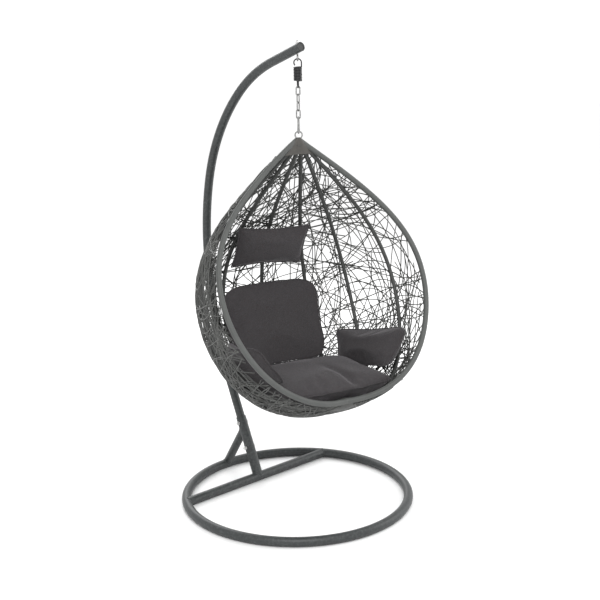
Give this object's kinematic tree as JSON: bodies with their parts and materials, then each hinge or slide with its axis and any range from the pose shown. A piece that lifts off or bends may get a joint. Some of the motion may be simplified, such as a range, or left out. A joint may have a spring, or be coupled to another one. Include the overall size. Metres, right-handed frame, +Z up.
{
  "type": "hanging egg chair",
  "caption": "Free-standing hanging egg chair: a wicker basket with cushions hung on a spring and chain from a curved tubular stand.",
  "frame": {"origin": "on the floor under the middle of the bounding box", "axes": "+Z up, the sitter faces -Y, +X to the sitter's left"},
  "size_m": [1.0207, 1.1011, 1.958],
  "materials": {
    "powder_coat": "mottled anthracite powder coat, semi-matte",
    "zinc_fasteners": "bright zinc plate",
    "end_cap": "moulded dark plastic",
    "spring_steel": "black coated spring wire",
    "zinc_chain": "zinc-plated steel wire",
    "wicker": "grey round synthetic cane",
    "cushion_fabric": "charcoal melange weave"
  },
  "bodies": {
    "stand": {"base_ring": "powder_coat", "cross_bar": "powder_coat", "lower_post": "powder_coat", "rear_brace": "powder_coat", "mast": "powder_coat", "joint_bolts": "zinc_fasteners", "joint_washers": "zinc_fasteners", "joint_nuts": "zinc_fasteners", "arm_end_cap": "end_cap", "eye_bolt": "zinc_fasteners", "eye_bolt_washer": "zinc_fasteners", "eye_bolt_nut": "zinc_fasteners"},
    "spring_top": {"spring_top_hook": "spring_steel", "spring_coil": "spring_steel"},
    "spring_bottom": {"spring_bottom_hook": "spring_steel"},
    "link_1": {"chain_link_1": "zinc_chain"},
    "link_2": {"chain_link_2": "zinc_chain"},
    "link_3": {"chain_link_3": "zinc_chain"},
    "link_4": {"chain_link_4": "zinc_chain"},
    "snap": {"snap_hook": "zinc_chain"},
    "gate": {"snap_gate": "zinc_chain"},
    "basket": {"top_ring": "zinc_chain", "crown_wrap": "wicker", "basket_rim": "wicker", "lip_wrap": "wicker", "rib_centre": "wicker", "rib_left_1": "wicker", "rib_right_1": "wicker", "rib_left_2": "wicker", "rib_right_2": "wicker", "rib_left_3": "wicker", "rib_right_3": "wicker", "weave_shell": "wicker", "back_cushion": "cushion_fabric", "seat_cushion": "cushion_fabric", "arm_cushion_left": "cushion_fabric", "arm_cushion_right": "cushion_fabric", "head_pillow": "cushion_fabric"}
  },
  "joints": [
    {"name": "spring_swing", "type": "hinge", "parent": "stand", "child": "spring_top", "pos_m": [0, -0.086, 1.88], "axis": [0.7071, 0.7071, 0], "range_deg": [-10, 10]},
    {"name": "spring_stretch", "type": "slide", "parent": "spring_top", "child": "spring_bottom", "axis": [0, 0, -1], "range_m": [0, 0.04], "stiffness_N_per_m": 9000, "springref_m": -0.033, "deforming": ["spring_coil"]},
    {"name": "link_1_twist", "type": "hinge", "parent": "spring_bottom", "child": "link_1", "pos_m": [0, -0.086, 1.773], "axis": [0, 0, 1], "range_deg": [-25, 25]},
    {"name": "link_2_pivot", "type": "hinge", "parent": "link_1", "child": "link_2", "pos_m": [0, -0.086, 1.7426], "axis": [0.8192, -0.5736, 0], "range_deg": [-20, 2]},
    {"name": "link_3_twist", "type": "hinge", "parent": "link_2", "child": "link_3", "pos_m": [0, -0.086, 1.7119], "axis": [0, 0, 1], "range_deg": [-40, 4]},
    {"name": "link_4_twist", "type": "hinge", "parent": "link_3", "child": "link_4", "pos_m": [0, -0.086, 1.6812], "axis": [0, 0, 1], "range_deg": [-40, 8]},
    {"name": "snap_hook_twist", "type": "hinge", "parent": "link_4", "child": "snap", "pos_m": [0, -0.086, 1.6505], "axis": [0, 0, 1], "range_deg": [-20, 15]},
    {"name": "basket_swivel", "type": "hinge", "parent": "snap", "child": "basket", "pos_m": [0, -0.086, 1.593], "axis": [0, 0, 1], "range_deg": [-40, 20]},
    {"name": "gate_hinge", "type": "hinge", "parent": "snap", "child": "gate", "pos_m": [-0.0053, -0.08999, 1.64917], "axis": [0.7071, -0.7071, 0], "range_deg": [0, 22], "stiffness_Nm_per_rad": 0.02, "springref_deg": -17.19}
  ]
}
